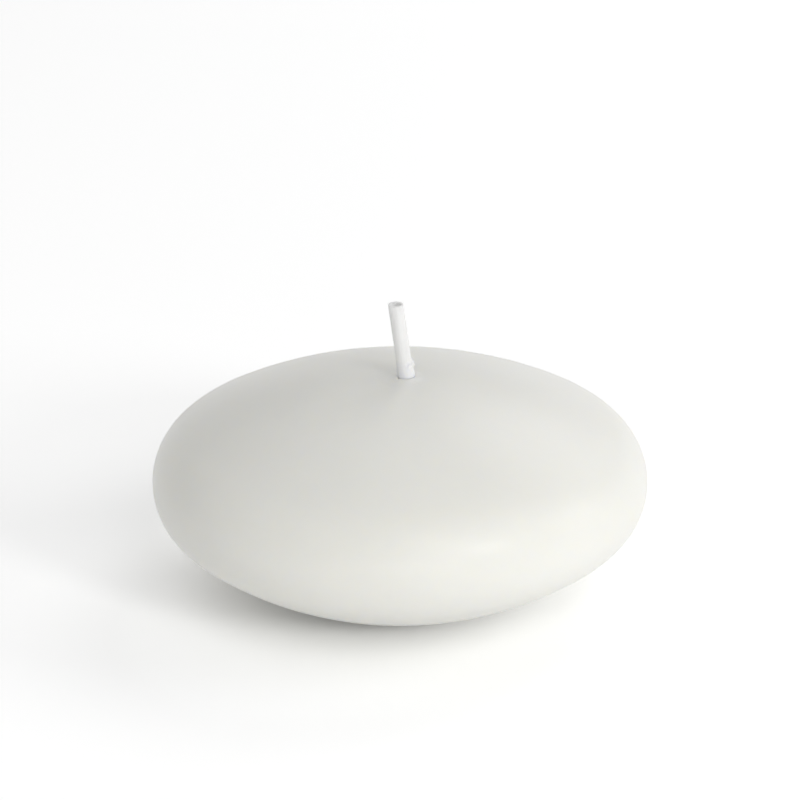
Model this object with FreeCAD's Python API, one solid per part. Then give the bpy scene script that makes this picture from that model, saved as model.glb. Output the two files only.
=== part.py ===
# Floating candle: a lens-shaped wax body, a waxed cotton wick that leans a little,
# and the tinned wick sustainer that anchors the wick in the underside.
# Millimetres, +Z up, origin at the centre of the flat foot.

import FreeCAD, Part
import math
import os

from FreeCAD import Vector

# Wax body: a dome and a bowl, both spherical, joined by a rounded rim
body_diameter = 75.0
rim_radius = 9.2
dome_rise = 16.3
bowl_radius = 54.8
foot_diameter = 28.0
foot_edge_radius = 4.0

# Wick, and the hole pierced for it
wick_diameter = 2.36
wick_offset = 0.9
wick_exposed = 11.7
wick_lean_deg = 7.6
wick_bend_radius = 10.0
bend_depth = 0.5
hole_clearance = 0.1
hole_lip_radius = 0.25

# Wax pushed up round the wick's foot: rings give a share of the height and an inset
collar_height = 2.5
collar_width = 2.74
collar_shift = 0.1
collar_lift = 0.12
collar_rings = [(0.0, 0.16), (0.14, 0.03), (0.4, 0.0), (0.82, 0.05)]
collar_top_inset = 0.02

# Lumps along the collar's ragged edge
lump_count = 7
lump_diameter = 1.1
lump_size_spread = 0.18
lump_size_phase = 2.3
lump_proud = 0.08
lump_rows = 3
lump_lowest_share = 0.22
lump_highest_share = 0.72

# Trimmed tip: the cut falls to the front, and a wax skin stands proud of the cotton core
tip_tilt_deg = 6.0
skin_thickness = 0.4
core_sink = 0.18

# Wick sustainer: a thin pressed plate with a neck rolled in round the wick
plate_diameter = 15.0
sheet_thickness = 0.3
plate_sink = 0.3
rib_diameter = 10.0
rib_width = 1.6
rib_crest_inset = 0.4
rib_height = 0.35
neck_height = 3.4
neck_play = 0.2
crimp_play = 0.02
crimp_height = 1.9
crimp_length = 1.2
plate_clearance = 0.15
neck_clearance = 0.1

# Sizes that follow from those above
body_radius = body_diameter / 2
foot_radius = foot_diameter / 2
wick_radius = wick_diameter / 2
rim_centre_radius = body_radius - rim_radius
bowl_centre_above_rim = math.sqrt((bowl_radius - rim_radius) ** 2 - rim_centre_radius ** 2)
rim_height = math.sqrt(bowl_radius ** 2 - foot_radius ** 2) - bowl_centre_above_rim
dome_radius = ((rim_centre_radius ** 2 + dome_rise ** 2 - rim_radius ** 2)
               / (2 * (dome_rise - rim_radius)))
body_height = rim_height + dome_rise
dome_centre_height = body_height - dome_radius
mouth_height = dome_centre_height + math.sqrt(dome_radius ** 2 - wick_offset ** 2)
tip_height = mouth_height + wick_exposed
hole_radius = wick_radius + hole_clearance
plate_top = plate_sink + sheet_thickness
neck_top = plate_sink + neck_height
neck_inner_radius = wick_radius + neck_play
neck_outer_radius = neck_inner_radius + sheet_thickness

UP = Vector(0, 0, 1)
ORIGIN = Vector(0, 0, 0)

# The wick runs straight up its hole, bends at the mouth and leans from there
wick_foot = Vector(wick_offset, 0, 0)
lean = math.radians(wick_lean_deg)
lean_direction = Vector(-math.sin(lean), 0, math.cos(lean))
lean_side = Vector(math.cos(lean), 0, math.sin(lean))
bend_start = wick_foot + UP * (mouth_height - bend_depth)
bend_centre = bend_start - Vector(wick_bend_radius, 0, 0)
bend_end = bend_centre + lean_side * wick_bend_radius


def leaning_point(start, height):
    """The point at a height on the line through start that has the wick's lean."""
    return start + lean_direction * ((height - start.z) / lean_direction.z)


def section_point(radius, height, axis=ORIGIN):
    """A point of a half section, in the XZ plane, measured from a vertical axis."""
    return Vector(axis.x + radius, axis.y, height)


def circle_point(centre_radius, centre_height, radius, angle):
    """A point of a circle in the half section; the angle is from straight up."""
    return section_point(centre_radius + radius * math.sin(angle),
                         centre_height + radius * math.cos(angle))


def polyline_solid(points, axis):
    """Turn a closed polyline of a half section once round a vertical axis."""
    wire = Part.makePolygon([*points, points[0]])
    return Part.Face(wire).revolve(axis, UP, 360)


def lens():
    """The wax body before any hole: dome, rim and bowl meet tangentially."""
    dome_end = math.atan2(rim_centre_radius, dome_radius - dome_rise)
    bowl_start = math.pi - math.atan2(rim_centre_radius, bowl_centre_above_rim)
    bowl_end = math.pi - math.asin(foot_radius / bowl_radius)
    bowl_centre_height = rim_height + bowl_centre_above_rim

    def dome(angle):
        return circle_point(0, dome_centre_height, dome_radius, angle)

    def rim(angle):
        return circle_point(rim_centre_radius, rim_height, rim_radius, angle)

    def bowl(angle):
        return circle_point(0, bowl_centre_height, bowl_radius, angle)

    apex = section_point(0, body_height)
    foot_edge = section_point(foot_radius, 0)
    edges = [
        Part.Arc(apex, dome(dome_end / 2), dome(dome_end)).toShape(),
        Part.Arc(dome(dome_end), rim((dome_end + bowl_start) / 2), rim(bowl_start)).toShape(),
        Part.Arc(rim(bowl_start), bowl((bowl_start + bowl_end) / 2), foot_edge).toShape(),
        Part.LineSegment(foot_edge, ORIGIN).toShape(),
        Part.LineSegment(ORIGIN, apex).toShape(),
    ]
    solid = Part.Face(Part.Wire(edges)).revolve(ORIGIN, UP, 360)
    circles = [edge for edge in solid.Edges if edge.BoundBox.XLength > foot_radius]
    lowest = min(circles, key=lambda edge: edge.BoundBox.ZMax)
    return solid.makeFillet(foot_edge_radius, [lowest])


def rib_section(gap):
    """The plate's stiffening rib in section, grown by a gap, from the outside inwards."""
    outer = (rib_diameter + rib_width) / 2
    inner = (rib_diameter - rib_width) / 2
    top = plate_top + rib_height + gap
    return [
        section_point(outer + gap, plate_top, wick_foot),
        section_point(outer - rib_crest_inset + gap, top, wick_foot),
        section_point(inner + rib_crest_inset - gap, top, wick_foot),
        section_point(inner - gap, plate_top, wick_foot),
    ]


def sustainer_pocket():
    """The space that the sustainer's plate, rib and neck take up in the underside."""
    plate_radius = plate_diameter / 2 + plate_clearance
    neck_radius = neck_outer_radius + neck_clearance
    return polyline_solid([
        section_point(0, 0, wick_foot),
        section_point(plate_radius, 0, wick_foot),
        section_point(plate_radius, plate_top, wick_foot),
        *rib_section(plate_clearance),
        section_point(neck_radius, plate_top, wick_foot),
        section_point(neck_radius, neck_top + neck_clearance, wick_foot),
        section_point(0, neck_top + neck_clearance, wick_foot),
    ], wick_foot)


def wax_body():
    """The pressed wax, with the wick's hole, its worn lip and the sustainer's pocket."""
    hole = Part.makeCylinder(hole_radius, body_height, wick_foot, UP)
    solid = lens().cut(hole)
    rings = [edge for edge in solid.Edges if edge.BoundBox.XLength > hole_radius]
    mouth = max(rings, key=lambda edge: edge.BoundBox.ZMin)
    solid = solid.makeFillet(hole_lip_radius, [mouth])
    return solid.cut(sustainer_pocket())


def above_cut(sink):
    """The space over the tip's cut, which slopes down to the front, lowered by a sink."""
    tilt = math.radians(tip_tilt_deg)
    drop = wick_radius * math.tan(tilt) + sink
    middle = leaning_point(bend_end, tip_height) - UP * drop
    corner = middle - Vector(wick_diameter, wick_diameter, 0)
    space = Part.makeBox(2 * wick_diameter, 2 * wick_diameter, 2 * wick_diameter, corner)
    space.rotate(middle, Vector(1, 0, 0), tip_tilt_deg)
    return space


def wick_shank():
    """The round waxed cord itself, trimmed at its tip."""
    start = wick_foot + UP * plate_sink
    bend_middle = (bend_start + bend_end) / 2 - bend_centre
    bend_middle = bend_centre + bend_middle.normalize() * wick_bend_radius
    path = Part.Wire([
        Part.LineSegment(start, bend_start).toShape(),
        Part.Arc(bend_start, bend_middle, bend_end).toShape(),
        Part.LineSegment(bend_end, leaning_point(bend_end, tip_height + wick_radius)).toShape(),
    ])
    section = Part.Wire(Part.makeCircle(wick_radius, start, UP))
    return path.makePipeShell([section], True, False).cut(above_cut(0))


def tip_recess():
    """The space over the cotton core, which sits a little lower than the wax skin."""
    start = leaning_point(bend_end, tip_height - wick_diameter)
    core_radius = wick_radius - skin_thickness
    core = Part.makeCylinder(core_radius, 2 * wick_diameter, start, lean_direction)
    return core.common(above_cut(core_sink))


def collar_foot():
    """The middle of the collar's lower edge."""
    return leaning_point(bend_end + lean_side * collar_shift, mouth_height + collar_lift)


def collar_skirt():
    """A bulged skirt round the wick that closes in on it at its top."""
    sections = [(share, collar_width / 2 - inset) for share, inset in collar_rings]
    sections.append((1.0, wick_radius - collar_top_inset))
    circles = []
    for share, radius in sections:
        centre = collar_foot() + lean_direction * (collar_height * share)
        circles.append(Part.Wire(Part.makeCircle(radius, centre, lean_direction)))
    return Part.makeLoft(circles, True, False)


def collar_lumps():
    """Round lumps in rows of uneven height that stand a little out of the skirt."""
    across = lean_direction.cross(lean_side)
    reach = (collar_width - lump_diameter) / 2 + lump_proud
    row_step = (lump_highest_share - lump_lowest_share) / (lump_rows - 1)
    lumps = []
    for number in range(lump_count):
        angle = 2 * math.pi * number / lump_count
        smaller = lump_size_spread * (1 - math.sin(lump_size_phase * number + 1))
        share = lump_lowest_share + row_step * (number % lump_rows)
        centre = (collar_foot() + lean_direction * (collar_height * share)
                  + lean_side * (reach * math.cos(angle)) + across * (reach * math.sin(angle)))
        lumps.append(Part.makeSphere(lump_diameter / 2 * (1 - smaller), centre))
    return lumps


def wick():
    """Cord, collar and lumps are one piece: they are all the wick's own wax and cotton."""
    solid = wick_shank().fuse([collar_skirt(), *collar_lumps()])
    return solid.cut(tip_recess()).removeSplitter()


def wick_sustainer():
    """Thin plate with a ring rib, and a neck whose middle is rolled in against the wick."""
    plate_radius = plate_diameter / 2
    waist_inner = wick_radius + crimp_play
    waist_outer = waist_inner + sheet_thickness
    crimp_middle = plate_sink + crimp_height
    crimp_low = crimp_middle - crimp_length / 2
    crimp_high = crimp_middle + crimp_length / 2
    upper_rib = rib_section(0)
    lower_rib = [point - UP * sheet_thickness for point in reversed(upper_rib)]
    return polyline_solid([
        section_point(neck_inner_radius, plate_sink, wick_foot),
        *lower_rib,
        section_point(plate_radius, plate_sink, wick_foot),
        section_point(plate_radius, plate_top, wick_foot),
        *upper_rib,
        section_point(neck_outer_radius, plate_top, wick_foot),
        section_point(neck_outer_radius, crimp_low, wick_foot),
        section_point(waist_outer, crimp_middle, wick_foot),
        section_point(neck_outer_radius, crimp_high, wick_foot),
        section_point(neck_outer_radius, neck_top, wick_foot),
        section_point(neck_inner_radius, neck_top, wick_foot),
        section_point(neck_inner_radius, crimp_high, wick_foot),
        section_point(waist_inner, crimp_middle, wick_foot),
        section_point(neck_inner_radius, crimp_low, wick_foot),
    ], wick_foot)


os.makedirs("parts", exist_ok=True)
pieces = {
    "wax_body": wax_body(),
    "wick": wick(),
    "wick_sustainer": wick_sustainer(),
}
for name, shape in pieces.items():
    shape.Solids[0].exportStep(f"parts/{name}.step")
    print(name, len(shape.Solids), "solid, valid", shape.isValid(),
          "volume %.2f mm3" % shape.Volume)
print("height of the wax body %.2f mm, rim plane at %.2f mm" % (body_height, rim_height))
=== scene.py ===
# Looks of a floating candle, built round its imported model. Metres, +Z up, origin at the
# centre of the flat foot, -Y towards the camera.

import math
import random
from types import SimpleNamespace

import bpy
from mathutils import Matrix, Vector


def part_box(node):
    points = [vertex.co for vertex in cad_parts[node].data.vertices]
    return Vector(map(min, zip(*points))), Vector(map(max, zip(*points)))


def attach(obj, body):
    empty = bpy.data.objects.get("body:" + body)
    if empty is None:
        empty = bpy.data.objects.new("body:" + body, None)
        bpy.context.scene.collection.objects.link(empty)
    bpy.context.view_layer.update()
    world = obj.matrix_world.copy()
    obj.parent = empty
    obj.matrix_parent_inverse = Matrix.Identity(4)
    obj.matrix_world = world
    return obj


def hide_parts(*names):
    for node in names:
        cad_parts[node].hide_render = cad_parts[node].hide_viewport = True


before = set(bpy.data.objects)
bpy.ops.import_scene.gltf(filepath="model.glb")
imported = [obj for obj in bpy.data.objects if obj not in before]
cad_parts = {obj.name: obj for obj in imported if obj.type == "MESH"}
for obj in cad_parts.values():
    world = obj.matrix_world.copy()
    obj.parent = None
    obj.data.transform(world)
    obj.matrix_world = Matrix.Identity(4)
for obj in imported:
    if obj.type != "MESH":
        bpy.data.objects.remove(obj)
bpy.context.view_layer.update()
_, wax_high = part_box("wax_body")
wick_low, wick_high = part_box("wick")

bl_info = {
    "name": "Floating candle",
    "version": (1, 0, 0),
    "blender": (4, 5, 0),
    "location": "3D View > Sidebar > Candle",
    "description": "Wax body, wick, wick sustainer and stage of a floating candle",
    "category": "Add Mesh",
}

UP = Vector((0, 0, 1))


def length(name, description, default):
    """A size in metres, shown in the scene's own unit of length."""
    return bpy.props.FloatProperty(name=name, description=description, default=default,
                                   unit="LENGTH", precision=5)


def angle(name, description, degrees):
    """An angle, written here in degrees."""
    return bpy.props.FloatProperty(name=name, description=description,
                                   default=math.radians(degrees), subtype="ANGLE")


def share(name, description, default):
    """A share or a level, with one as its usual top."""
    return bpy.props.FloatProperty(name=name, description=description, default=default,
                                   min=0.0, subtype="FACTOR")


def tint(name, description, default):
    """A linear colour."""
    return bpy.props.FloatVectorProperty(name=name, description=description, default=default,
                                         size=3, min=0.0, max=1.0, subtype="COLOR")


class WaxBodySettings(bpy.types.PropertyGroup):
    """Form and finish of the wax body"""

    body_radius: length("Body radius", "Half the diameter of the wax", wax_high.y)
    rim_radius: length("Rim radius", "Radius of the rounded rim in section", 0.0092)
    dome_rise: length("Dome rise", "Height of the dome above the rim's widest line", 0.0163)
    bowl_radius: length("Bowl radius", "Radius of the sphere under the rim", 0.0548)
    foot_radius: length("Foot radius", "Where the bowl would meet the table", 0.014)
    foot_edge: length("Foot edge", "Radius that rounds the foot's edge", 0.004)
    pocket_radius: length("Pocket radius", "Radius of the sustainer's pocket", 0.00765)
    pocket_depth: length("Pocket depth", "Depth of the sustainer's pocket", 0.0006)
    groove_radius: length("Groove radius", "Middle of the groove for the sustainer's rib", 0.005)
    groove_mouth: length("Groove mouth", "Width of that groove at the pocket's floor", 0.0019)
    groove_bed: length("Groove bed", "Width of that groove at its own bed", 0.0011)
    groove_top: length("Groove top", "Height of the groove's bed above the table", 0.0011)
    neck_radius: length("Neck radius", "Radius of the bore for the sustainer's neck", 0.00178)
    neck_top: length("Neck top", "Height of that bore's end above the table", 0.0038)
    lip_radius: length("Lip radius", "Radius of the worn edge of the wick's hole", 0.00008)
    lip_rise: length("Lip rise", "How far the wax is drawn up to the wick", 0.00017)
    lip_reach: length("Lip reach", "Width of the wax that is drawn up", 0.0019)
    hole_radius: length("Hole radius", "Radius of the hole for the wick", 0.00123)
    shift_reach: length("Shift reach", "How far out the dome follows the hole's shift", 0.012)
    recess: length("Recess", "Depth at which the wax closes round the wick", 0.0006)
    nick_radius: length("Nick radius", "Size of the gap beside the wick's foot", 0.00036)
    nick_depth: length("Nick depth", "Depth of the gap beside the wick's foot", 0.00024)
    nick_turn: angle("Nick turn", "Where the gap lies, from the right over the back", 218)
    unevenness: length("Unevenness", "How far the pressed surface wanders", 0.00007)
    wander_size: length("Wander size", "Size of the surface's soft hollows", 0.011)
    ivory: tint("Ivory", "Colour of the wax", (0.86, 0.858, 0.815))
    depth: length("Depth", "How far light travels inside the wax", 0.006)
    depth_at_wick: length("Depth at wick", "How far it travels beside the wick", 0.00048)
    roughness: share("Roughness", "Roughness of the satin surface", 0.34)
    gloss: share("Gloss", "Level of the reflection on the satin surface", 0.34)


class WickSettings(bpy.types.PropertyGroup):
    """Form and finish of the waxed wick"""

    wick_radius: length("Wick radius", "Half the thickness of the waxed wick", 0.0012)
    offset: length("Offset", "How far the wick stands from the body's axis", 0.0009)
    foot_height: length("Foot height", "Height of the wick's lower end", wick_low.z)
    lean: angle("Lean", "How far the wick leans to the left", 7.6)
    tip_height: length("Tip height", "Height of the wick's tip", wick_high.z - 0.00009)
    bend_radius: length("Bend radius", "Radius of the bend at the hole's mouth", 0.010)
    bend_depth: length("Bend depth", "How far under the mouth the bend starts", 0.0005)
    chip_depth: length("Chip depth", "Depth of the chip beside the wick's foot", 0.00006)
    chip_drop: length("Chip drop", "How far the chip's middle lies under the mouth", 0.0004)
    chip_reach: length("Chip reach", "How far the chip goes up and down from there", 0.0007)
    skin: length("Skin", "Thickness of the wax skin at the tip", 0.00034)
    dent_size: length("Dent size", "Size of the dents in the wax skin", 0.0007)
    dent_depth: length("Dent depth", "Depth of those dents", 0.00004)
    core_sink: length("Core sink", "Depth of the hollow between the cotton strands", 0.00013)
    ridge_size: length("Ridge size", "Width of the ridges along the cord", 0.0005)
    ridge_height: length("Ridge height", "Height of those ridges", 0.00006)
    swelling_size: length("Swelling size", "Width of the cord's swellings", 0.0016)
    swelling_height: length("Swelling height", "Height of those swellings", 0.00008)
    fray_size: length("Fray size", "Size of the bumps on the cut strands", 0.00012)
    fray_depth: length("Fray depth", "Depth of those bumps", 0.00005)
    cotton: tint("Waxed cotton", "Colour of the waxed wick", (0.84, 0.84, 0.83))
    core: tint("Cotton core", "Colour of the cut cotton", (0.94, 0.94, 0.92))
    depth: length("Depth", "How far light travels inside the waxed cotton", 0.0024)
    roughness: share("Roughness", "Roughness of the waxed cord", 0.5)
    core_roughness: share("Core roughness", "Roughness of the cut cotton", 0.8)


class CollarSettings(bpy.types.PropertyGroup):
    """Form and finish of the crumpled wax round the wick's foot"""

    height: length("Height", "Height of the collar along the wick", 0.003)
    width: length("Width", "Usual thickness of the collar", 0.00258)
    bulge: length("Bulge", "How far the collar bulges to the right", 0.0004)
    sink: length("Sink", "How deep its lower edge is melted into the wax", 0.00014)
    gap: length("Gap", "Height of the gap under it at the lower left", 0.00032)
    lumps: bpy.props.IntProperty(name="Lumps", description="Crumbs of wax in the collar",
                                 default=64, min=3)
    crumple: length("Crumple", "Depth of the crumples", 0.00008)
    crumple_size: length("Crumple size", "Size of the crumples", 0.0004)
    fine_size: length("Fine size", "Size of the fine crumples, which are half as deep", 0.00016)
    grain: length("Grain", "Size of the mesh that the crumbs are melted into", 0.00007)
    scraped: tint("Scraped wax", "Colour of the scraped wax", (0.83, 0.832, 0.838))
    depth: length("Depth", "How far light travels inside the scraped wax", 0.0007)
    roughness: share("Roughness", "Roughness of the scraped wax", 0.5)
    gloss: share("Gloss", "Level of the reflection on the scraped wax", 0.5)


class SustainerSettings(bpy.types.PropertyGroup):
    """Finish of the wick sustainer"""

    tin: tint("Tin", "Colour of the tinned steel", (0.72, 0.72, 0.71))
    roughness: share("Roughness", "Roughness of the tinned steel", 0.34)


class StageSettings(bpy.types.PropertyGroup):
    """Camera, lamps and floor"""

    distance: length("Distance", "From the camera to the middle of the rim", 0.525)
    elevation: angle("Elevation", "Height of the camera above the rim", 23.3)
    headroom: angle("Headroom", "How far the camera looks above the candle", 1.27)
    lens: bpy.props.FloatProperty(name="Lens", description="Focal length in millimetres",
                                  default=155.8)
    lamp_distance: length("Lamp distance", "From the candle to each lamp", 1.0)
    daylight: share("Daylight", "Light that comes evenly from all round", 0.326)
    paper: share("Paper", "Grey level of the paper under the candle", 0.97)
    paper_seen: share("Paper seen", "Level at which the camera sees that paper", 1.35)
    floor_size: length("Floor size", "Side of the square floor", 6.0)


def deselect():
    """Nothing is selected, so that the next operator acts on its own object alone."""
    if bpy.context.object and bpy.context.object.mode != "OBJECT":
        bpy.ops.object.mode_set(mode="OBJECT")
    bpy.ops.object.select_all(action="DESELECT")


def pick_only(piece):
    """Selects one piece alone and makes it the active one."""
    deselect()
    piece.select_set(True)
    bpy.context.view_layer.objects.active = piece


def begin(name):
    """Names the primitive just added and opens it in edit mode, all selected."""
    piece = bpy.context.object
    piece.name = name
    piece.data.name = name
    bpy.ops.object.mode_set(mode="EDIT")
    bpy.ops.mesh.select_mode(type="VERT")
    bpy.ops.mesh.select_all(action="SELECT")
    return piece


def settle(piece):
    """Closes edit mode and puts the piece's place into its mesh."""
    pick_only(piece)
    bpy.ops.object.transform_apply(location=True, rotation=True, scale=True)
    return piece


def join_parts(name, parts):
    """Joins parts into one piece of that name."""
    pick_only(parts[0])
    for part in parts:
        part.select_set(True)
    bpy.ops.object.join()
    piece = bpy.context.object
    piece.name = name
    return settle(piece)


def apply_all(piece):
    """Applies the piece's modifiers in their order."""
    bpy.context.view_layer.objects.active = piece
    for modifier in list(piece.modifiers):
        bpy.ops.object.modifier_apply(modifier=modifier.name)


def select_where(piece, test):
    """Selects the vertices whose place passes a test, and leaves edit mode open."""
    bpy.ops.object.mode_set(mode="OBJECT")
    for polygon in piece.data.polygons:
        polygon.select = False
    for edge in piece.data.edges:
        edge.select = False
    for vertex in piece.data.vertices:
        vertex.select = test(piece.matrix_world @ vertex.co)
    bpy.ops.object.mode_set(mode="EDIT")


def pull(move, fade):
    """Moves what is selected; what lies within the fade follows softly."""
    bpy.ops.transform.translate(value=tuple(move), use_proportional_edit=True,
                                proportional_edit_falloff="SMOOTH", proportional_size=fade)


def smooth_step(low, high, value):
    """Rises softly from zero at low to one at high."""
    part = min(1.0, max(0.0, (value - low) / (high - low)))
    return part * part * (3 - 2 * part)


def subdivide(piece, levels):
    """Adds a Subdivision Surface modifier."""
    modifier = piece.modifiers.new("smoother", "SUBSURF")
    modifier.levels = levels
    modifier.render_levels = levels


def displace(piece, name, size, strength, middle, group=""):
    """Adds a Displace modifier that reads a cloudy pattern of the given size."""
    pattern = bpy.data.textures.new(name, "CLOUDS")
    pattern.noise_scale = size
    pattern.noise_depth = 2
    modifier = piece.modifiers.new(name, "DISPLACE")
    modifier.texture = pattern
    modifier.texture_coords = "LOCAL"
    modifier.strength = strength
    modifier.mid_level = middle
    modifier.vertex_group = group
    return modifier


def smooth_by_angle(piece, degrees):
    """Shades a piece smooth, apart from edges sharper than an angle."""
    pick_only(piece)
    bpy.ops.object.shade_smooth_by_angle(angle=math.radians(degrees))


def give_material(piece, material):
    """Makes a material the piece's only one."""
    piece.data.materials.clear()
    piece.data.materials.append(material)


def finish_piece(piece, material, slot, *nodes, smooth_angle=40):
    """Smooths a piece, gives it its material and ties it to the frame."""
    smooth_by_angle(piece, smooth_angle)
    give_material(piece, material)
    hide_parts(*nodes)
    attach(piece, "root")


# Node groups and materials


def new_group(name, inputs, outputs):
    """An empty shader group; inputs and outputs are (name, socket type, default)."""
    group = bpy.data.node_groups.new(name, "ShaderNodeTree")
    for socket_name, kind, default in inputs:
        socket = group.interface.new_socket(socket_name, in_out="INPUT", socket_type=kind)
        if default is not None:
            socket.default_value = default
    for socket_name, kind in outputs:
        group.interface.new_socket(socket_name, in_out="OUTPUT", socket_type=kind)
    return group, group.nodes.new("NodeGroupInput"), group.nodes.new("NodeGroupOutput")


def cloudy_tone():
    """Faint clouds of a paler and a deeper tone, at two sizes, as wax shows."""
    group, given, made = new_group(
        "cloudy_tone",
        [("Vector", "NodeSocketVector", None), ("Pale", "NodeSocketColor", (1, 1, 1, 1)),
         ("Deep", "NodeSocketColor", (0.9, 0.9, 0.9, 1)), ("Scale", "NodeSocketFloat", 60.0)],
        [("Color", "NodeSocketColor"), ("Mask", "NodeSocketFloat")])
    nodes, links = group.nodes, group.links
    broad = nodes.new("ShaderNodeTexNoise")
    broad.inputs["Detail"].default_value = 2.0
    fine = nodes.new("ShaderNodeTexNoise")
    fine.inputs["Detail"].default_value = 3.0
    finer = nodes.new("ShaderNodeMath")
    finer.operation = "MULTIPLY"
    finer.inputs[1].default_value = 7.0
    both = nodes.new("ShaderNodeMix")
    both.inputs["Factor"].default_value = 0.35
    ramp = nodes.new("ShaderNodeMapRange")
    ramp.inputs["From Min"].default_value = 0.3
    ramp.inputs["From Max"].default_value = 0.7
    tone = nodes.new("ShaderNodeMix")
    tone.data_type = "RGBA"
    links.new(given.outputs["Scale"], broad.inputs["Scale"])
    links.new(given.outputs["Scale"], finer.inputs[0])
    links.new(finer.outputs[0], fine.inputs["Scale"])
    for pattern in (broad, fine):
        links.new(given.outputs["Vector"], pattern.inputs["Vector"])
    links.new(broad.outputs["Fac"], both.inputs["A"])
    links.new(fine.outputs["Fac"], both.inputs["B"])
    links.new(both.outputs["Result"], ramp.inputs["Value"])
    links.new(ramp.outputs["Result"], tone.inputs["Factor"])
    links.new(given.outputs["Deep"], tone.inputs["A"])
    links.new(given.outputs["Pale"], tone.inputs["B"])
    links.new(tone.outputs["Result"], made.inputs["Color"])
    links.new(ramp.outputs["Result"], made.inputs["Mask"])
    return group


def fine_relief():
    """A height of soft grain with a few small pits, for bump."""
    group, given, made = new_group(
        "fine_relief",
        [("Vector", "NodeSocketVector", None), ("Grain scale", "NodeSocketFloat", 900.0),
         ("Pit scale", "NodeSocketFloat", 160.0), ("Pits", "NodeSocketFloat", 0.5)],
        [("Height", "NodeSocketFloat")])
    nodes, links = group.nodes, group.links
    grain = nodes.new("ShaderNodeTexNoise")
    grain.inputs["Detail"].default_value = 3.0
    cells = nodes.new("ShaderNodeTexVoronoi")
    pit = nodes.new("ShaderNodeMapRange")
    pit.interpolation_type = "SMOOTHSTEP"
    pit.inputs["From Max"].default_value = 0.07
    pit.inputs["To Min"].default_value = -1.0
    pit.inputs["To Max"].default_value = 0.0
    deep = nodes.new("ShaderNodeMath")
    deep.operation = "MULTIPLY_ADD"
    links.new(given.outputs["Vector"], grain.inputs["Vector"])
    links.new(given.outputs["Vector"], cells.inputs["Vector"])
    links.new(given.outputs["Grain scale"], grain.inputs["Scale"])
    links.new(given.outputs["Pit scale"], cells.inputs["Scale"])
    links.new(cells.outputs["Distance"], pit.inputs["Value"])
    links.new(pit.outputs["Result"], deep.inputs[0])
    links.new(given.outputs["Pits"], deep.inputs[1])
    links.new(grain.outputs["Fac"], deep.inputs[2])
    links.new(deep.outputs[0], made.inputs["Height"])
    return group


def depth_near_wick():
    """How far light goes into the wax: less beside the wick than out in the dome."""
    group, given, made = new_group(
        "depth_near_wick",
        [("Vector", "NodeSocketVector", None), ("Centre", "NodeSocketVector", None),
         ("Near", "NodeSocketFloat", 0.0014), ("Far", "NodeSocketFloat", 0.0045),
         ("Shallow", "NodeSocketFloat", 0.0005), ("Deep", "NodeSocketFloat", 0.006)],
        [("Depth", "NodeSocketFloat")])
    nodes, links = group.nodes, group.links
    gap = nodes.new("ShaderNodeVectorMath")
    gap.operation = "SUBTRACT"
    flat = nodes.new("ShaderNodeVectorMath")
    flat.operation = "MULTIPLY"
    flat.inputs[1].default_value = (1.0, 1.0, 0.0)
    away = nodes.new("ShaderNodeVectorMath")
    away.operation = "LENGTH"
    rise = nodes.new("ShaderNodeMapRange")
    rise.interpolation_type = "SMOOTHSTEP"
    links.new(given.outputs["Vector"], gap.inputs[0])
    links.new(given.outputs["Centre"], gap.inputs[1])
    links.new(gap.outputs["Vector"], flat.inputs[0])
    links.new(flat.outputs["Vector"], away.inputs[0])
    links.new(away.outputs["Value"], rise.inputs["Value"])
    links.new(given.outputs["Near"], rise.inputs["From Min"])
    links.new(given.outputs["Far"], rise.inputs["From Max"])
    links.new(given.outputs["Shallow"], rise.inputs["To Min"])
    links.new(given.outputs["Deep"], rise.inputs["To Max"])
    links.new(rise.outputs["Result"], made.inputs["Depth"])
    return group


def shared_group(name, make):
    """The node group of that name, made the first time that it is asked for."""
    return bpy.data.node_groups.get(name) or make()


def use_group(tree, group, **values):
    """Places a group in a material, with its own values for the named inputs."""
    node = tree.nodes.new("ShaderNodeGroup")
    node.node_tree = group
    for name, value in values.items():
        node.inputs[name.replace("_", " ")].default_value = value
    return node


def new_material(name):
    """A material with its shader, and object coordinates through a mapping."""
    material = bpy.data.materials.new(name)
    material.use_nodes = True
    tree = material.node_tree
    shader = tree.nodes["Principled BSDF"]
    place = tree.nodes.new("ShaderNodeTexCoord")
    mapping = tree.nodes.new("ShaderNodeMapping")
    tree.links.new(place.outputs["Object"], mapping.inputs["Vector"])
    return material, tree, shader, mapping


def add_bump(tree, shader, height, depth):
    """Feeds a height to the shader's normal; depth is in metres."""
    bump = tree.nodes.new("ShaderNodeBump")
    bump.inputs["Distance"].default_value = depth
    bump.inputs["Strength"].default_value = 1.0
    tree.links.new(height, bump.inputs["Height"])
    tree.links.new(bump.outputs["Normal"], shader.inputs["Normal"])


def vary_roughness(tree, shader, mask, low, high):
    """Roughness that follows a mask between two values."""
    spread = tree.nodes.new("ShaderNodeMapRange")
    spread.inputs["To Min"].default_value = low
    spread.inputs["To Max"].default_value = high
    tree.links.new(mask, spread.inputs["Value"])
    tree.links.new(spread.outputs["Result"], shader.inputs["Roughness"])


def shade(color, factor):
    """A colour made deeper or paler by a factor, with full alpha."""
    return (color[0] * factor, color[1] * factor, color[2] * factor, 1.0)


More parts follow.
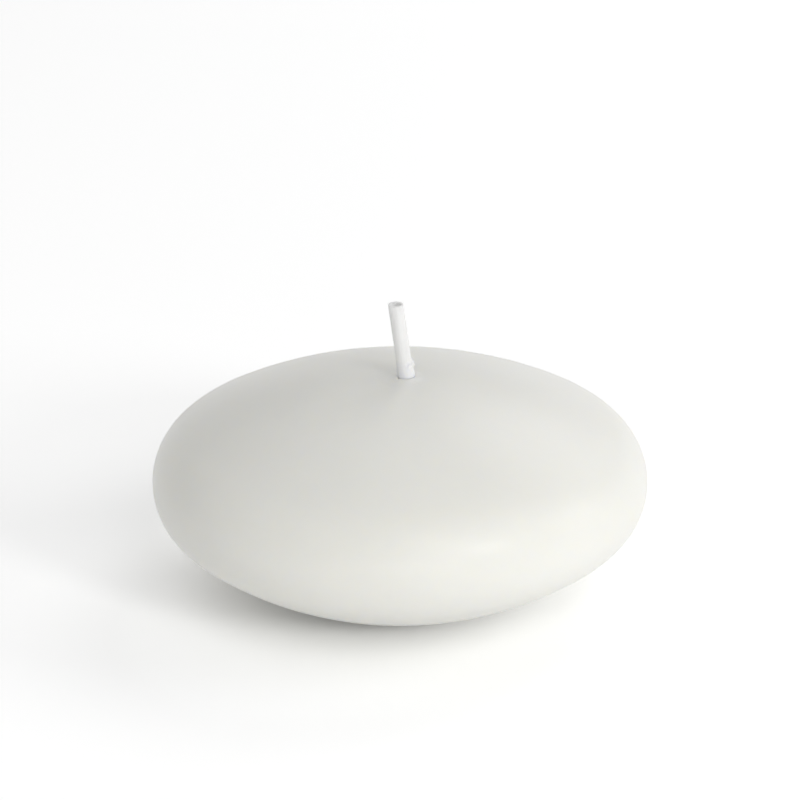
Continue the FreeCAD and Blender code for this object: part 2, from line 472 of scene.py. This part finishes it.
def grained_material(name, color, tones, cloud_scale, grain, roughness, relief):
    """A material of cloudy colour with soft grain and a few pits.

    tones are the pale and the deep factor of the colour, grain is the grain's scale, the
    pits' scale and their depth, and roughness is the value in deep and in pale places.
    """
    material, tree, shader, mapping = new_material(name)
    clouds = use_group(tree, shared_group("cloudy_tone", cloudy_tone),
                       Pale=shade(color, tones[0]), Deep=shade(color, tones[1]),
                       Scale=cloud_scale)
    bumps = use_group(tree, shared_group("fine_relief", fine_relief),
                      Grain_scale=grain[0], Pit_scale=grain[1], Pits=grain[2])
    for group in (clouds, bumps):
        tree.links.new(mapping.outputs["Vector"], group.inputs["Vector"])
    tree.links.new(clouds.outputs["Color"], shader.inputs["Base Color"])
    vary_roughness(tree, shader, clouds.outputs["Mask"], *roughness)
    add_bump(tree, shader, bumps.outputs["Height"], relief)
    return material, tree, shader, mapping


def let_light_in(shader, depth, reach_of_colors):
    """Makes all diffuse light travel inside; red, green and blue reach shares of a depth."""
    shader.inputs["IOR"].default_value = 1.44
    shader.inputs["Subsurface Weight"].default_value = 1.0
    shader.inputs["Subsurface Radius"].default_value = reach_of_colors
    shader.inputs["Subsurface Scale"].default_value = depth


def wax_finish(name, color, depth, roughness, gloss, relief, cloud_scale=70.0):
    """Satin wax that light enters: faint clouds, soft grain and a few pits."""
    material, tree, shader, mapping = grained_material(
        name, color, tones=(1.006, 0.99), cloud_scale=cloud_scale, grain=(1400.0, 150.0, 1.2),
        roughness=(roughness - 0.03, roughness + 0.03), relief=relief)
    let_light_in(shader, depth, (1.0, 0.95, 0.8))
    shader.inputs["Specular IOR Level"].default_value = gloss
    return material, tree, shader, mapping


def ivory_finish(wax, wick_offset):
    """Ivory wax; beside the wick, one lump with it in life, no light is lost in the hole."""
    material, tree, shader, mapping = wax_finish(
        "ivory_wax", wax.ivory, wax.depth, wax.roughness, wax.gloss, relief=0.000012)
    depth = use_group(tree, shared_group("depth_near_wick", depth_near_wick),
                      Centre=(wick_offset, 0.0, 0.0), Near=0.0014, Far=0.0045,
                      Shallow=wax.depth_at_wick, Deep=wax.depth)
    tree.links.new(mapping.outputs["Vector"], depth.inputs["Vector"])
    tree.links.new(depth.outputs["Depth"], shader.inputs["Subsurface Scale"])
    return material


def scraped_finish(collar):
    """Whitish scraped wax, with finer clouds than the body's."""
    return wax_finish("scraped_wax", collar.scraped, collar.depth, collar.roughness,
                      collar.gloss, relief=0.00002, cloud_scale=1500.0)[0]


def waxed_cotton_finish(name, wick, color, roughness):
    """White waxed cord: long faint streaks along its length under a thin skin of wax."""
    material, _, shader, mapping = grained_material(
        name, color, tones=(1.03, 0.93), cloud_scale=1800.0, grain=(5200.0, 900.0, 0.4),
        roughness=(roughness - 0.08, roughness + 0.08), relief=0.00004)
    mapping.inputs["Rotation"].default_value = (0.0, wick.lean, 0.0)
    mapping.inputs["Scale"].default_value = (1.0, 1.0, 0.09)
    let_light_in(shader, wick.depth, (1.0, 1.0, 1.0))
    return material


def tin_finish(name, color, roughness):
    """Pressed tinned steel: a greyish bloom, with rubbed paler patches."""
    material, _, shader, _ = grained_material(
        name, color, tones=(1.06, 0.86), cloud_scale=420.0, grain=(2600.0, 700.0, 0.6),
        roughness=(roughness + 0.1, roughness - 0.06), relief=0.00002)
    shader.inputs["Metallic"].default_value = 1.0
    return material


def paper_finish(name, grey, seen):
    """Matt white paper; the camera sees it as bright as a lit studio sweep."""
    material, tree, shader, mapping = new_material(name)
    shader.inputs["Roughness"].default_value = 0.9
    shader.inputs["Specular IOR Level"].default_value = 0.0
    rays = tree.nodes.new("ShaderNodeLightPath")
    camera_or_glossy = tree.nodes.new("ShaderNodeMath")
    camera_or_glossy.operation = "MAXIMUM"
    any_seen = tree.nodes.new("ShaderNodeMath")
    any_seen.operation = "MAXIMUM"
    tone = tree.nodes.new("ShaderNodeMix")
    tone.data_type = "RGBA"
    tone.inputs["A"].default_value = (grey, grey, grey, 1)
    tone.inputs["B"].default_value = (seen, seen, seen, 1)
    tree.links.new(rays.outputs["Is Camera Ray"], camera_or_glossy.inputs[0])
    tree.links.new(rays.outputs["Is Glossy Ray"], camera_or_glossy.inputs[1])
    tree.links.new(camera_or_glossy.outputs[0], any_seen.inputs[0])
    tree.links.new(rays.outputs["Is Transmission Ray"], any_seen.inputs[1])
    tree.links.new(any_seen.outputs[0], tone.inputs["Factor"])
    tree.links.new(tone.outputs["Result"], shader.inputs["Base Color"])
    return material


# Wax body

# Steps in which the section's arcs and lines are drawn, and the turns round the axis
LIP_STEPS = 8
DRAWN_UP_STEPS = 16
DOME_STEPS = 52
RIM_STEPS = 44
BOWL_STEPS = 34
EDGE_STEPS = 8
FOOT_STEPS = 6
WALL_STEPS = 4
ROUND_STEPS = 256


def lens_form(wax):
    """Centres and angles of the dome's, rim's and bowl's arcs, which meet tangentially."""
    rim_centre = wax.body_radius - wax.rim_radius
    bowl_rise = math.sqrt((wax.bowl_radius - wax.rim_radius) ** 2 - rim_centre ** 2)
    rim_height = math.sqrt(wax.bowl_radius ** 2 - wax.foot_radius ** 2) - bowl_rise
    dome_radius = ((rim_centre ** 2 + wax.dome_rise ** 2 - wax.rim_radius ** 2)
                   / (2 * (wax.dome_rise - wax.rim_radius)))
    bowl_height = rim_height + bowl_rise
    edge_reach = wax.bowl_radius - wax.foot_edge
    edge_centre = math.sqrt(edge_reach ** 2 - (bowl_height - wax.foot_edge) ** 2)
    return SimpleNamespace(
        rim_centre=rim_centre,
        rim_height=rim_height,
        dome_radius=dome_radius,
        dome_height=rim_height + wax.dome_rise - dome_radius,
        dome_end=math.atan2(rim_centre, dome_radius - wax.dome_rise),
        bowl_height=bowl_height,
        bowl_start=math.pi - math.atan2(rim_centre, bowl_rise),
        bowl_end=math.pi - math.atan2(edge_centre, bowl_height - wax.foot_edge),
        edge_centre=edge_centre,
    )


def dome_top(form, radius):
    """Height of the dome at a distance from the body's axis."""
    return form.dome_height + math.sqrt(form.dome_radius ** 2 - radius ** 2)


def arc(centre, height, radius, start, end, steps):
    """Points (radius, height) along an arc; its angles are from straight up."""
    points = []
    for step in range(steps + 1):
        turn = start + (end - start) * step / steps
        points.append((centre + radius * math.sin(turn), height + radius * math.cos(turn)))
    return points


def straight(start, end, steps):
    """Points (radius, height) along a straight line."""
    return [tuple(Vector(start).lerp(Vector(end), step / steps)) for step in range(steps + 1)]


def drawn_up(wax, radius):
    """How far the wax is drawn up to the wick, at a distance from the hole's axis."""
    share_left = 1 - (radius - wax.hole_radius - wax.lip_radius) / wax.lip_reach
    return wax.lip_rise * smooth_step(0, 1, share_left)


def pocket_section(wax):
    """Half section of the sustainer's pocket: floor, groove for its rib, bore for its neck."""
    mouth, bed = wax.groove_mouth / 2, wax.groove_bed / 2
    return [
        (wax.pocket_radius, 0.0),
        (wax.pocket_radius, wax.pocket_depth),
        (wax.groove_radius + mouth, wax.pocket_depth),
        (wax.groove_radius + bed, wax.groove_top),
        (wax.groove_radius - bed, wax.groove_top),
        (wax.groove_radius - mouth, wax.pocket_depth),
        (wax.neck_radius, wax.pocket_depth),
        (wax.neck_radius, wax.neck_top),
        (0.0, wax.neck_top),
    ]


def wax_section(wax, form):
    """Half section of the wax: recess, lip, dome, rim, bowl, foot and pocket."""
    lip_centre = wax.hole_radius + wax.lip_radius
    lip_height = dome_top(form, lip_centre) + wax.lip_rise - wax.lip_radius
    lip_end = lip_centre + wax.lip_reach
    floor_height = lip_height - wax.recess
    lip_turn = math.asin(lip_centre / form.dome_radius)
    lip_end_turn = math.asin(lip_end / form.dome_radius)
    dome_by_lip = arc(0, form.dome_height, form.dome_radius,
                      lip_turn, lip_end_turn, DRAWN_UP_STEPS)
    return [
        (0.0, floor_height),
        *straight((wax.hole_radius, floor_height), (wax.hole_radius, lip_height), WALL_STEPS),
        *arc(lip_centre, lip_height, wax.lip_radius, -math.pi / 2, 0, LIP_STEPS),
        *[(radius, height + drawn_up(wax, radius)) for radius, height in dome_by_lip],
        *arc(0, form.dome_height, form.dome_radius, lip_end_turn, form.dome_end, DOME_STEPS),
        *arc(form.rim_centre, form.rim_height, wax.rim_radius,
             form.dome_end, form.bowl_start, RIM_STEPS),
        *arc(0, form.bowl_height, wax.bowl_radius, form.bowl_start, form.bowl_end, BOWL_STEPS),
        *arc(form.edge_centre, wax.foot_edge, wax.foot_edge,
             form.bowl_end, math.pi, EDGE_STEPS),
        *straight((form.edge_centre, 0.0), (wax.pocket_radius, 0.0), FOOT_STEPS),
        *pocket_section(wax),
    ]


def spin_section(name, points, steps):
    """Draws a half section as one line and spins it round the vertical axis."""
    shortest_move = 1e-7
    last = points[0]
    bpy.ops.mesh.primitive_circle_add(vertices=3, radius=0.0001, location=(last[0], 0, last[1]))
    piece = begin(name)
    bpy.ops.mesh.merge(type="CENTER")
    for point in points[1:]:
        move = (point[0] - last[0], 0, point[1] - last[1])
        if Vector(move).length > shortest_move:
            bpy.ops.mesh.extrude_vertices_move(TRANSFORM_OT_translate={"value": move})
            last = point
    bpy.ops.mesh.select_all(action="SELECT")
    bpy.ops.mesh.spin(steps=steps, angle=2 * math.pi, center=(0, 0, 0), axis=(0, 0, 1))
    bpy.ops.mesh.select_all(action="SELECT")
    bpy.ops.mesh.remove_doubles(threshold=1e-6)
    bpy.ops.mesh.normals_make_consistent(inside=False)
    return settle(piece)


def shift_to_wick(piece, wax, form, offset):
    """Moves hole, lip and pocket under the wick; the dome round them follows softly."""
    margin = 1e-5
    lip_centre = wax.hole_radius + wax.lip_radius
    fade = wax.shift_reach - lip_centre
    mouth = Vector((offset, 0, dome_top(form, offset)))
    select_where(piece, lambda spot: spot.z > form.rim_height and spot.xy.length < lip_centre)
    pull(mouth - UP * dome_top(form, 0), fade)
    bpy.ops.transform.rotate(value=math.asin(offset / form.dome_radius), orient_axis="Y",
                             center_override=tuple(mouth), use_proportional_edit=True,
                             proportional_edit_falloff="SMOOTH", proportional_size=fade)
    select_where(piece, lambda spot: (spot.xy.length < wax.pocket_radius + margin
                                      and spot.z < wax.neck_top + margin))
    bpy.ops.transform.translate(value=(offset, 0, 0))


def open_nick(piece, wax, form, offset):
    """Lowers the wax at one side of the wick's foot, where the photo shows a dark gap."""
    outside_share = 0.2
    core_share = 0.25
    reach = wax.hole_radius + wax.nick_radius * outside_share
    nick = Vector((offset + reach * math.cos(wax.nick_turn), reach * math.sin(wax.nick_turn)))
    low = dome_top(form, 0) - wax.nick_depth
    core = wax.nick_radius * core_share
    select_where(piece, lambda spot: spot.z > low and (spot.xy - nick).length < core)
    pull(UP * -wax.nick_depth, wax.nick_radius)


class CANDLE_OT_wax_body(bpy.types.Operator):
    """Spin the wax body, set its hole under the wick and let its surface wander a little"""

    bl_idname = "candle.wax_body"
    bl_label = "Wax body"

    def execute(self, context):
        wax, wick = context.scene.candle_wax, context.scene.candle_wick
        form = lens_form(wax)
        deselect()
        piece = spin_section("wax_lens", wax_section(wax, form), ROUND_STEPS)
        shift_to_wick(piece, wax, form, wick.offset)
        open_nick(piece, wax, form, wick.offset)
        bpy.ops.object.mode_set(mode="OBJECT")
        outside = piece.vertex_groups.new(name="outside")
        full_height = 2 * wax.foot_edge
        still_radius = 3 * wax.hole_radius
        for vertex in piece.data.vertices:
            spot = vertex.co
            if math.hypot(spot.x - wick.offset, spot.y) > still_radius:
                weight = min(1.0, max(0.0, spot.z / full_height))
                outside.add([vertex.index], weight, "REPLACE")
        displace(piece, "pressed_surface", wax.wander_size, wax.unevenness, 1.0, "outside")
        apply_all(piece)
        finish_piece(piece, ivory_finish(wax, wick.offset), "ivory_wax", "wax_body")
        return {"FINISHED"}


# Wick


def wick_line(wick, form):
    """Where the wick stands, bends and points, and the height of the hole's mouth."""
    mouth = dome_top(form, wick.offset)
    bend_start = Vector((wick.offset, 0, mouth - wick.bend_depth))
    bend_centre = bend_start - Vector((wick.bend_radius, 0, 0))
    along = Vector((-math.sin(wick.lean), 0, math.cos(wick.lean)))
    side = Vector((math.cos(wick.lean), 0, math.sin(wick.lean)))
    return SimpleNamespace(mouth=mouth, bend_start=bend_start, bend_centre=bend_centre,
                           bend_end=bend_centre + side * wick.bend_radius,
                           along=along, side=side)


def grow(step):
    """Extrudes the selected ring by a step."""
    bpy.ops.mesh.extrude_region_move(TRANSFORM_OT_translate={"value": tuple(step)})


def chip_foot(piece, wick, line, nick_turn):
    """Pushes the cord in beside its foot, where the photo shows a dark gap."""
    middle = line.mouth - wick.chip_drop
    nearest = wick.wick_radius * 0.85
    fade = wick.wick_radius * 0.5
    out = Vector((math.cos(nick_turn), math.sin(nick_turn), 0))
    axis = Vector((wick.offset, 0, 0))
    select_where(piece, lambda spot: ((spot - axis).dot(out) > nearest
                                      and abs(spot.z - middle) < wick.chip_reach))
    pull(out * -wick.chip_depth, fade)
    bpy.ops.object.mode_set(mode="OBJECT")


def ridge_cord(piece, wick, line):
    """Gives the cord faint ridges and swellings that run along it."""
    deselect()
    bpy.ops.object.empty_add(location=tuple(line.bend_end), rotation=(0, -wick.lean, 0))
    guide = bpy.context.object
    stretch = 6
    guide.scale = (1, 1, stretch)
    for name, size, height in (("ridges", wick.ridge_size, wick.ridge_height),
                               ("swellings", wick.swelling_size, wick.swelling_height)):
        modifier = displace(piece, name, size, height, 0.5)
        modifier.texture_coords = "OBJECT"
        modifier.texture_coords_object = guide
    apply_all(piece)
    bpy.data.objects.remove(guide)


class CANDLE_OT_wick(bpy.types.Operator):
    """Draw the cord up its hole, round the bend and to its trimmed tip"""

    bl_idname = "candle.wick"
    bl_label = "Waxed wick"

    def execute(self, context):
        wick = context.scene.candle_wick
        line = wick_line(wick, lens_form(context.scene.candle_wax))
        deselect()
        bpy.ops.mesh.primitive_circle_add(vertices=36, radius=wick.wick_radius, fill_type="NGON",
                                          location=(wick.offset, 0, wick.foot_height))
        piece = begin("wick_cord")
        coarse_steps = 8
        fine_steps = 10
        fine_step = 0.00028
        bend_steps = 5
        lean_steps = 36
        rise = line.bend_start.z - wick.foot_height - fine_steps * fine_step
        for step in range(coarse_steps):
            grow(UP * (rise / coarse_steps))
        for step in range(fine_steps):
            grow(UP * fine_step)
        place = line.bend_start.copy()
        for step in range(bend_steps):
            turn = wick.lean * (step + 1) / bend_steps
            out = Vector((math.cos(turn), 0, math.sin(turn)))
            after = line.bend_centre + out * wick.bend_radius
            grow(after - place)
            bpy.ops.transform.rotate(value=-wick.lean / bend_steps, orient_axis="Y",
                                     center_override=tuple(after))
            place = after
        tip_rise = wick.tip_height - line.bend_end.z + wick.wick_radius
        for step in range(lean_steps):
            grow(line.along * (tip_rise / line.along.z / lean_steps))
        bpy.ops.mesh.select_all(action="SELECT")
        bpy.ops.mesh.bisect(plane_co=(0, 0, wick.tip_height), plane_no=(0, 0, 1),
                            use_fill=True, clear_outer=True)
        bpy.ops.mesh.select_mode(type="FACE")
        for skin_share in (0.12, 0.7, 0.18):
            bpy.ops.mesh.inset(thickness=wick.skin * skin_share, depth=0)
        grow(line.along * -wick.core_sink)
        bpy.ops.mesh.inset(thickness=wick.wick_radius * 0.1, depth=0)
        settle(piece)
        chip_foot(piece, wick, line, context.scene.candle_wax.nick_turn)
        subdivide(piece, 2)
        displace(piece, "uneven_skin", wick.dent_size, wick.dent_depth, 0.6)
        ridge_cord(piece, wick, line)
        finish = waxed_cotton_finish("waxed_cotton", wick, wick.cotton, wick.roughness)
        finish_piece(piece, finish, "waxed_cotton", "wick", smooth_angle=60)
        return {"FINISHED"}


class CANDLE_OT_core(bpy.types.Operator):
    """Set the cut ends of the cotton strands in the wick's tip"""

    bl_idname = "candle.core"
    bl_label = "Cotton strands"

    def execute(self, context):
        wick = context.scene.candle_wick
        line = wick_line(wick, lens_form(context.scene.candle_wax))
        tip = line.bend_end + line.along * ((wick.tip_height - line.bend_end.z) / line.along.z)
        draw = random.Random(11)
        rings = ((1, 6), (2, 12))
        missing_strand = (2, 3)
        ring_step = 1.95
        wobble = 0.12
        swollen = 1.24
        strand = (wick.wick_radius - wick.skin) / (len(rings) * ring_step + 1)
        places = [(0.0, 0.0, False)]
        for ring, count in rings:
            for number in range(count):
                turn = 2 * math.pi * (number + draw.uniform(-wobble, wobble)) / count
                reach = ring * strand * ring_step
                hollow = (ring, number) == missing_strand
                places.append((reach * math.cos(turn), reach * math.sin(turn), hollow))
        deselect()
        bpy.ops.mesh.primitive_cylinder_add(vertices=10, radius=strand, depth=strand * 4,
                                            location=(0, 0, -strand * 2))
        model = begin("wick_strands")
        bpy.ops.mesh.select_mode(type="FACE")
        select_where(model, lambda spot: spot.z > -strand * 0.5)
        for crown_share in (0.15, 0.07):
            bpy.ops.mesh.inset(thickness=strand * 0.35, depth=strand * crown_share)
        settle(model)
        turn_to_lean = Matrix.Rotation(-wick.lean, 4, "Y")
        copies = []
        for across, front, hollow in places:
            pick_only(model)
            bpy.ops.object.duplicate()
            copy = bpy.context.object
            sink = wick.core_sink * (1.3 if hollow else draw.uniform(0.2, 0.3))
            place = tip + line.side * across + Vector((0, front, 0)) - line.along * sink
            width = draw.uniform(0.9, 1.1)
            copy.matrix_world = (Matrix.Translation(place) @ turn_to_lean
                                 @ Matrix.Rotation(draw.uniform(0, math.pi), 4, "Z")
                                 @ Matrix.Diagonal((swollen * width, swollen / width, 1, 1)))
            copies.append(copy)
        bpy.data.objects.remove(model)
        piece = join_parts("wick_strands", copies)
        subdivide(piece, 1)
        displace(piece, "frayed", wick.fray_size, wick.fray_depth, 0.5)
        apply_all(piece)
        finish = waxed_cotton_finish("cut_cotton", wick, wick.core, wick.core_roughness)
        finish_piece(piece, finish, "waxed_cotton", "wick", smooth_angle=60)
        return {"FINISHED"}


# Collar of crumpled wax


def fuse_with_cord(collar, cord):
    """Makes the collar one with the cord, so that light passes from one to the other."""
    fuse = cord.modifiers.new("fuse", "BOOLEAN")
    fuse.operation = "UNION"
    fuse.material_mode = "TRANSFER"
    fuse.object = collar
    apply_all(cord)
    bpy.data.objects.remove(collar)
    smooth_by_angle(cord, 60)


def crumb_spot(collar, line, foot, number, nick_turn, draw):
    """Place and radius of one crumb; by number, the crumbs wind up the cord from its foot."""
    golden_turn = 0.382
    turn = 2 * math.pi * (number * golden_turn + draw.uniform(-0.03, 0.03))
    rise = (number + 0.5) / collar.lumps
    radius = collar.width / 2 * draw.uniform(0.22, 0.36) * (1 - 0.5 * rise * rise)
    right = max(0.0, math.cos(turn))
    taper = 1 - 0.1 * right * (1 - rise) - 0.05 * rise * rise
    knobs = (0.4 + 0.6 * math.sin(2 * math.pi * rise) ** 2) * (0.35 + 0.85 * rise)
    outside = collar.width / 2 * taper + collar.bulge * right * knobs
    reach = outside - radius * draw.uniform(0.95, 1.05)
    height = radius + (collar.height - 2 * radius) * rise
    above_gap = collar.gap * smooth_step(0.3, 0.8, math.cos(turn - nick_turn)) + radius
    across = line.side * (reach * math.cos(turn)) + Vector((0, reach * math.sin(turn), 0))
    return foot + across + line.along * max(height, above_gap), radius


class CANDLE_OT_collar(bpy.types.Operator):
    """Melt crumbs of scraped wax into a ragged collar round the wick's foot"""

    bl_idname = "candle.collar"
    bl_label = "Wax collar"

    def execute(self, context):
        wick, collar = context.scene.candle_wick, context.scene.candle_collar
        nick_turn = context.scene.candle_wax.nick_turn
        line = wick_line(wick, lens_form(context.scene.candle_wax))
        foot = line.bend_end.copy()
        foot -= line.along * ((foot.z - line.mouth + collar.sink) / line.along.z)
        draw = random.Random(5)
        deselect()
        crumbs = []
        for number in range(collar.lumps):
            place, radius = crumb_spot(collar, line, foot, number, nick_turn, draw)
            bpy.ops.mesh.primitive_ico_sphere_add(subdivisions=2, radius=radius, location=place)
            crumbs.append(bpy.context.object)
            bpy.ops.transform.resize(value=(1.0, 1.0, draw.uniform(0.8, 1.3)),
                                     center_override=tuple(place))
        foot_share, top_share = 1.13, 0.98
        bpy.ops.mesh.primitive_cone_add(
            vertices=32, radius1=wick.wick_radius * foot_share,
            radius2=wick.wick_radius * top_share, depth=collar.height,
            location=foot + line.along * collar.height * 0.5, rotation=(0, -wick.lean, 0))
        crumbs.append(bpy.context.object)
        piece = join_parts("wick_collar", crumbs)
        melt = piece.modifiers.new("melt", "REMESH")
        melt.mode = "VOXEL"
        melt.voxel_size = collar.grain
        soften = piece.modifiers.new("soften", "SMOOTH")
        soften.factor = 0.5
        soften.iterations = 5
        displace(piece, "crumples", collar.crumple_size, collar.crumple, 0.6)
        displace(piece, "fine_crumples", collar.fine_size, collar.crumple * 0.5, 0.5)
        apply_all(piece)
        give_material(piece, scraped_finish(collar))
        fuse_with_cord(piece, bpy.data.objects["wick_cord"])
        return {"FINISHED"}


# Wick sustainer


class CANDLE_OT_sustainer(bpy.types.Operator):
    """Give the wick sustainer its tinned finish"""

    bl_idname = "candle.sustainer"
    bl_label = "Wick sustainer"

    def execute(self, context):
        sustainer = context.scene.candle_sustainer
        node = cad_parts["wick_sustainer"]
        give_material(node, tin_finish("tinned_steel", sustainer.tin, sustainer.roughness))
        return {"FINISHED"}


# Stage

# Each lamp: azimuth and elevation from the candle in degrees, width, height and level
LAMPS = {
    "key": (-50.0, 21.0, 0.2, 0.2, 0.186),
    "front_top": (-67.0, 38.0, 0.55, 0.55, 0.156),
    "front_low": (-80.0, 3.0, 0.8, 0.09, 0.138),
    "right": (0.0, 22.0, 0.55, 0.55, 0.153),
    "back_right_top": (60.0, 38.0, 0.55, 0.55, 0.139),
    "back_right_low": (60.0, 7.0, 1.2, 0.26, 0.069),
    "back_top": (120.0, 60.0, 0.8, 0.8, 0.073),
    "back_left_low": (120.0, 7.0, 1.2, 0.26, 0.051),
    "left_top": (200.0, 60.0, 0.8, 0.8, 0.094),
}


def soft_lamp(name, target, distance, azimuth, elevation, width, height, level):
    """A wide lamp aimed at the candle; a level of one lights white paper to white."""
    flat, rise = math.radians(azimuth), math.radians(elevation)
    away = Vector((math.cos(flat) * math.cos(rise), math.sin(flat) * math.cos(rise),
                   math.sin(rise)))
    bpy.ops.object.light_add(type="AREA", location=target + away * distance)
    lamp = bpy.context.object
    lamp.name = name
    lamp.data.shape = "ELLIPSE"
    lamp.data.size = width
    lamp.data.size_y = height
    lamp.data.energy = level * math.pi ** 2 * distance ** 2
    lamp.rotation_euler = away.to_track_quat("Z", "Y").to_euler()
    return lamp


class CANDLE_OT_stage(bpy.types.Operator):
    """Place the camera, the lamps and the paper floor"""

    bl_idname = "candle.stage"
    bl_label = "Stage"

    def execute(self, context):
        scene, stage = context.scene, context.scene.candle_stage
        scene.view_settings.view_transform = "Standard"
        form = lens_form(scene.candle_wax)
        target = Vector((0, 0, form.rim_height))
        deselect()
        away = Vector((0, -math.cos(stage.elevation), math.sin(stage.elevation)))
        tilt = math.pi / 2 - stage.elevation + stage.headroom
        bpy.ops.object.camera_add(location=target + away * stage.distance, rotation=(tilt, 0, 0))
        camera = bpy.context.object
        camera.name = "camera"
        camera.data.lens = stage.lens
        camera.data.clip_start = 0.01
        scene.camera = camera
        for name, values in LAMPS.items():
            soft_lamp(name, target, stage.lamp_distance, *values)
        scene.world = bpy.data.worlds.new("studio")
        scene.world.use_nodes = True
        sky = scene.world.node_tree.nodes["Background"]
        sky.inputs["Color"].default_value = (1, 1, 1, 1)
        sky.inputs["Strength"].default_value = stage.daylight
        bpy.ops.mesh.primitive_plane_add(size=stage.floor_size)
        floor = bpy.context.object
        floor.name = "paper_floor"
        floor.data.materials.append(paper_finish("white_paper", stage.paper, stage.paper_seen))
        return {"FINISHED"}


class CANDLE_PT_panel(bpy.types.Panel):
    """Sidebar panel of the floating candle"""

    bl_idname = "CANDLE_PT_panel"
    bl_label = "Floating candle"
    bl_space_type = "VIEW_3D"
    bl_region_type = "UI"
    bl_category = "Candle"

    def draw(self, context):
        for operator, settings_name in STEPS:
            box = self.layout.box()
            box.operator(operator.bl_idname)
            settings = getattr(context.scene, settings_name)
            for name in settings.__annotations__:
                box.prop(settings, name)


SETTINGS = {
    "candle_wax": WaxBodySettings,
    "candle_wick": WickSettings,
    "candle_collar": CollarSettings,
    "candle_sustainer": SustainerSettings,
    "candle_stage": StageSettings,
}
STEPS = [
    (CANDLE_OT_stage, "candle_stage"),
    (CANDLE_OT_wax_body, "candle_wax"),
    (CANDLE_OT_wick, "candle_wick"),
    (CANDLE_OT_core, "candle_wick"),
    (CANDLE_OT_collar, "candle_collar"),
    (CANDLE_OT_sustainer, "candle_sustainer"),
]


def register():
    for name, group in SETTINGS.items():
        bpy.utils.register_class(group)
        setattr(bpy.types.Scene, name, bpy.props.PointerProperty(type=group))
    for operator, _ in STEPS:
        bpy.utils.register_class(operator)
    bpy.utils.register_class(CANDLE_PT_panel)


def unregister():
    bpy.utils.unregister_class(CANDLE_PT_panel)
    for operator, _ in reversed(STEPS):
        bpy.utils.unregister_class(operator)
    for name, group in SETTINGS.items():
        delattr(bpy.types.Scene, name)
        bpy.utils.unregister_class(group)


def main():
    register()
    bpy.ops.candle.stage()
    bpy.ops.candle.wax_body()
    bpy.ops.candle.wick()
    bpy.ops.candle.core()
    bpy.ops.candle.collar()
    bpy.ops.candle.sustainer()


if __name__ == "__main__":
    main()
